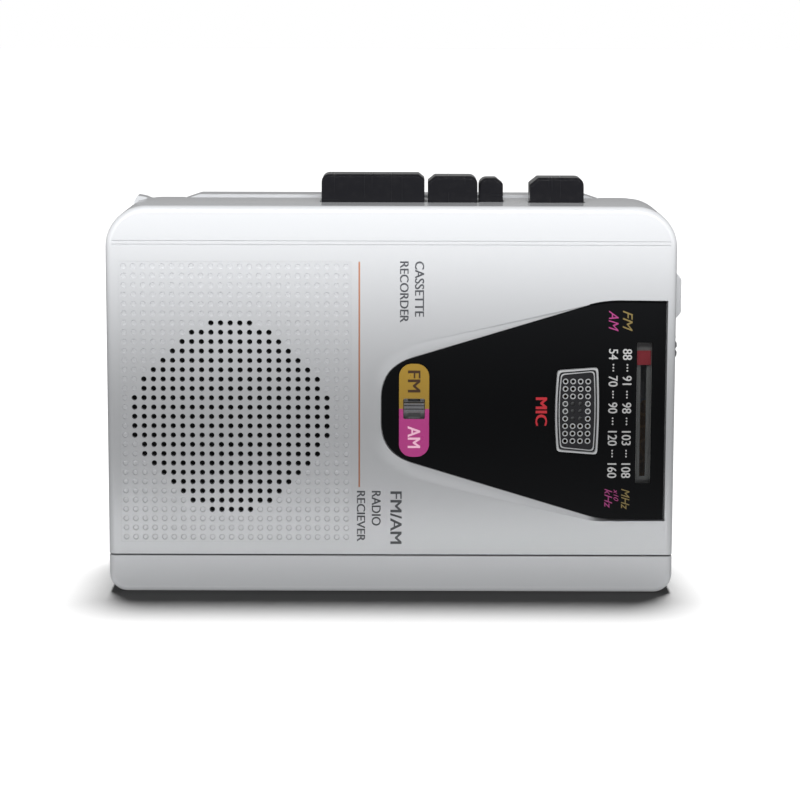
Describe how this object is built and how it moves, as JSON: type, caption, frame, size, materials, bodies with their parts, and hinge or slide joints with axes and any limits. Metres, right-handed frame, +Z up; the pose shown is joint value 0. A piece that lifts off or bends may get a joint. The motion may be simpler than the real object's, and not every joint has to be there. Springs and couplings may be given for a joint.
{
  "type": "portable cassette recorder",
  "caption": "Hand-held cassette recorder with radio dial, speaker grille, built-in microphone, piano keys on top and a hinged cassette door behind.",
  "frame": {"origin": "middle of the case's base, halfway between the speaker face and the cassette door", "axes": "+X to the right seen from the speaker face, +Y from the speaker face to the cassette door, +Z up towards the keys"},
  "size_m": [0.1202, 0.038, 0.0869],
  "materials": {
    "silver_shell": "fine satin metallic lacquer on moulded plastic",
    "black_key": "semi-gloss",
    "black_window": "polished",
    "clear_pane": "clear plastic",
    "gold_plate": "satin print",
    "red_pointer": "satin",
    "grey_wheel": "satin",
    "chrome_trim": "bright",
    "steel_plate": "plain",
    "spring_wire": "drawn wire",
    "brass_turned": "turned",
    "black_magnet": "matt",
    "paper_cone": "pressed paper",
    "black_rubber": "matt",
    "cream_nylon": "matt",
    "board_laminate": "matt",
    "ferrite": "matt",
    "copper_winding": "enamelled wire"
  },
  "bodies": {
    "case": {"front_case": "silver_shell", "back_case": "silver_shell", "door_hinge_pin_left": "steel_plate", "door_hinge_pin_right": "steel_plate", "case_screw_left_1": "steel_plate", "case_screw_left_2": "steel_plate", "case_screw_right_1": "steel_plate", "case_screw_right_2": "steel_plate", "dial_window": "black_window", "dial_pane": "clear_pane", "dial_backing": "grey_wheel", "band_plate": "gold_plate", "band_switch_body": "steel_plate", "mic_grille": "chrome_trim", "mic_capsule": "steel_plate", "tuning_capacitor": "cream_nylon", "volume_potentiometer": "steel_plate", "headphone_jack": "black_key", "power_jack": "black_key", "play_key_spring": "spring_wire", "fast_forward_key_spring": "spring_wire", "record_key_spring": "spring_wire", "stop_eject_key_spring": "spring_wire", "spring_bracket": "steel_plate", "chassis_plate": "steel_plate", "capstan_bearing": "brass_turned", "motor": "steel_plate", "drive_belt": "black_rubber", "speaker_frame": "black_magnet", "speaker_cone": "paper_cone", "main_board": "board_laminate", "ferrite_rod": "ferrite", "antenna_coil": "copper_winding", "battery_spring": "spring_wire", "battery_contact": "spring_wire"},
    "battery_hatch": {"battery_cover": "silver_shell"},
    "door": {"cassette_door": "silver_shell", "door_window": "clear_pane"},
    "play_button": {"play_key": "black_key"},
    "fast_forward_button": {"fast_forward_key": "black_key"},
    "record_button": {"record_key": "black_key"},
    "stop_eject_button": {"stop_eject_key": "black_key"},
    "head_carriage": {"head_base": "steel_plate", "play_record_head": "chrome_trim", "erase_head": "black_key", "pinch_roller_arm": "steel_plate"},
    "pinch_wheel": {"pinch_roller": "black_rubber"},
    "capstan_wheel": {"flywheel": "brass_turned", "capstan": "steel_plate"},
    "idler": {"idler_gear": "cream_nylon"},
    "take_up_reel": {"take_up_gear": "cream_nylon", "take_up_spindle": "cream_nylon"},
    "supply_reel": {"supply_spindle": "cream_nylon"},
    "motor_shaft": {"motor_pulley": "brass_turned"},
    "tuning_knob": {"tuning_wheel": "grey_wheel"},
    "dial": {"pointer_rack": "cream_nylon", "dial_pointer": "red_pointer"},
    "volume_knob": {"volume_wheel": "grey_wheel"},
    "band_slider": {"band_switch_knob": "chrome_trim"},
    "function_slider": {"function_switch_knob": "silver_shell"}
  },
  "joints": [
    {"name": "battery_cover_slide", "type": "slide", "parent": "case", "child": "battery_hatch", "axis": [0, -1, 0], "range_m": [0, 0.024]},
    {"name": "door_hinge", "type": "hinge", "parent": "case", "child": "door", "pos_m": [0, 0.0171, 0.0061], "axis": [-1, 0, 0], "range_deg": [0, 55]},
    {"name": "play_press", "type": "slide", "parent": "case", "child": "play_button", "axis": [0, 0, -1], "range_m": [0, 0.004], "stiffness_N_per_m": 300, "springref_m": -0.003, "deforming": ["play_key_spring"]},
    {"name": "fast_forward_press", "type": "slide", "parent": "case", "child": "fast_forward_button", "axis": [0, 0, -1], "range_m": [0, 0.0035], "stiffness_N_per_m": 300, "springref_m": -0.003, "deforming": ["fast_forward_key_spring"]},
    {"name": "record_press", "type": "slide", "parent": "case", "child": "record_button", "axis": [0, 0, -1], "range_m": [0, 0.0035], "stiffness_N_per_m": 300, "springref_m": -0.003, "deforming": ["record_key_spring"]},
    {"name": "stop_eject_press", "type": "slide", "parent": "case", "child": "stop_eject_button", "axis": [0, 0, -1], "range_m": [0, 0.0035], "stiffness_N_per_m": 300, "springref_m": -0.003, "deforming": ["stop_eject_key_spring"]},
    {"name": "head_carriage_slide", "type": "slide", "parent": "case", "child": "head_carriage", "axis": [0, 0, -1], "range_m": [0, 0.004]},
    {"name": "pinch_roller_spin", "type": "hinge", "parent": "head_carriage", "child": "pinch_wheel", "pos_m": [0.022, 0.01055, 0.07149], "axis": [0, 1, 0], "continuous": true},
    {"name": "flywheel_spin", "type": "hinge", "parent": "case", "child": "capstan_wheel", "pos_m": [0.022, 0, 0.06089], "axis": [0, 1, 0], "continuous": true},
    {"name": "idler_spin", "type": "hinge", "parent": "case", "child": "idler", "pos_m": [0.02173, 0, 0.05089], "axis": [0, 1, 0], "continuous": true},
    {"name": "take_up_spin", "type": "hinge", "parent": "case", "child": "take_up_reel", "pos_m": [0.02125, 0, 0.0329], "axis": [0, 1, 0], "continuous": true},
    {"name": "supply_spin", "type": "hinge", "parent": "case", "child": "supply_reel", "pos_m": [-0.02125, 0, 0.0329], "axis": [0, 1, 0], "continuous": true},
    {"name": "motor_spin", "type": "hinge", "parent": "case", "child": "motor_shaft", "pos_m": [-0.0455, 0, 0.0675], "axis": [0, 1, 0], "continuous": true},
    {"name": "tuning_wheel_turn", "type": "hinge", "parent": "case", "child": "tuning_knob", "pos_m": [0.04745, 0, 0.0506], "axis": [0, -1, 0], "range_deg": [0, 267]},
    {"name": "dial_pointer_slide", "type": "slide", "parent": "case", "child": "dial", "axis": [0, 0, -1], "range_m": [0, 0.02423]},
    {"name": "volume_wheel_turn", "type": "hinge", "parent": "case", "child": "volume_knob", "pos_m": [0.04855, 0, 0.03], "axis": [0, 1, 0], "range_deg": [0, 280]},
    {"name": "band_switch_slide", "type": "slide", "parent": "case", "child": "band_slider", "axis": [0, 0, -1], "range_m": [0, 0.0012]},
    {"name": "function_switch_slide", "type": "slide", "parent": "case", "child": "function_slider", "axis": [0, 0, -1], "range_m": [0, 0.003]}
  ],
  "couplings": [
    {"joint": "head_carriage_slide", "follows": "play_press", "ratio": 1},
    {"joint": "idler_spin", "follows": "flywheel_spin", "ratio": -0.66667},
    {"joint": "take_up_spin", "follows": "flywheel_spin", "ratio": 0.33333},
    {"joint": "motor_spin", "follows": "flywheel_spin", "ratio": 5.1818},
    {"joint": "tuning_wheel_turn", "follows": "dial_pointer_slide", "rad_per_m": 192.31}
  ]
}
